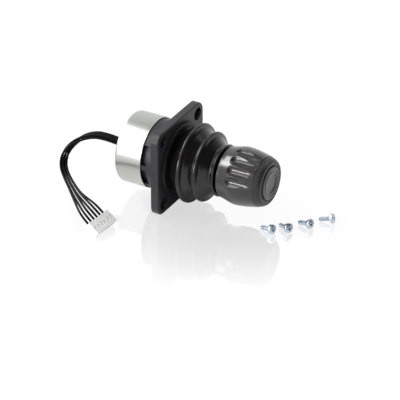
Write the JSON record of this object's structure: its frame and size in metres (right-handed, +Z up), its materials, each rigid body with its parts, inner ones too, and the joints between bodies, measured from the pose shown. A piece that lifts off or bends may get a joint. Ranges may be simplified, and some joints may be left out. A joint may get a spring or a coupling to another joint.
{
  "type": "industrial joystick",
  "caption": "Panel finger joystick: square flange, bellows boot, tilting lever, twist knob with push button, screened can behind and a loose lead bundle to a flat plug.",
  "frame": {"origin": "on the lever axis in the back face of the square flange, which is the face that seats on the panel; it is the centre of the four flange screw holes", "axes": "+X along the lever from the can to the knob, +Z up as the object lies on the lower edge of its flange, +Y to the side away from the plug"},
  "size_m": [0.1397, 0.076, 0.0444],
  "materials": {
    "housing_plastic": "black glass-filled nylon, lightly grained",
    "boot_rubber": "matt black moulded rubber",
    "knob_plastic": "dark grey glossy moulded plastic",
    "bezel_plastic": "black satin plastic",
    "button_plastic": "dark grey satin plastic",
    "can_metal": "drawn and brushed sheet metal",
    "steel": "bright turned steel",
    "zinc": "zinc-plated steel with a bluish cast",
    "brass": "turned brass",
    "natural_plastic": "natural acetal",
    "magnet": "nickel-plated magnet",
    "circuit_board": "green solder mask on glass-epoxy board",
    "chip": "black moulded chip package",
    "lead_jacket": "black soft insulation",
    "plug_plastic": "white nylon",
    "contact_metal": "tin-plated brass"
  },
  "bodies": {
    "base": {"flange_housing": "housing_plastic", "boot_retainer": "housing_plastic", "spring_seat": "steel", "gimbal_carrier": "housing_plastic", "outer_pivot_pins": "steel", "sensor_board": "circuit_board", "lead_board": "circuit_board", "hall_sensors": "chip", "board_standoffs": "brass", "board_screws": "steel", "output_chips": "chip", "can_shield": "can_metal", "cable_grommet": "boot_rubber", "lead_tails": "lead_jacket", "lead_1": "lead_jacket", "lead_2": "lead_jacket", "lead_3": "lead_jacket", "lead_4": "lead_jacket", "lead_5": "lead_jacket", "lead_6": "lead_jacket", "plug_housing": "plug_plastic", "plug_contacts": "contact_metal", "mounting_screws": "zinc"},
    "yoke": {"gimbal_ring": "brass"},
    "lever": {"inner_pivot_pin": "steel", "lever_shaft": "steel", "lever_hub": "brass", "magnet_holder": "natural_plastic", "sensor_magnet": "magnet", "centering_spring": "steel", "spring_cap": "natural_plastic", "retaining_rings": "steel", "boot_collar": "natural_plastic", "bellows_boot": "boot_rubber", "twist_board": "circuit_board", "tactile_switch": "chip", "twist_sensor": "chip"},
    "knob": {"grip_shell": "knob_plastic", "knob_bush": "natural_plastic", "front_bezel": "bezel_plastic", "twist_magnet": "magnet", "twist_spring": "steel"},
    "button": {"push_button": "button_plastic", "switch_plunger": "natural_plastic"}
  },
  "joints": [
    {"name": "tilt_up_down", "type": "hinge", "parent": "base", "child": "yoke", "pos_m": [-0.004, 0, 0], "axis": [0, 1, 0], "range_deg": [-20, 20], "stiffness_Nm_per_rad": 0.5, "deforming": ["bellows_boot", "centering_spring"]},
    {"name": "tilt_side", "type": "hinge", "parent": "yoke", "child": "lever", "pos_m": [-0.004, 0, 0], "axis": [0, 0, 1], "range_deg": [-20, 20], "stiffness_Nm_per_rad": 0.5},
    {"name": "knob_twist", "type": "hinge", "parent": "lever", "child": "knob", "pos_m": [0.0287, 0, 0], "axis": [1, 0, 0], "range_deg": [-25, 25], "stiffness_Nm_per_rad": 0.1, "deforming": ["twist_spring"]},
    {"name": "button_press", "type": "slide", "parent": "knob", "child": "button", "axis": [-1, 0, 0], "range_m": [0, 0.001], "stiffness_N_per_m": 1500}
  ]
}
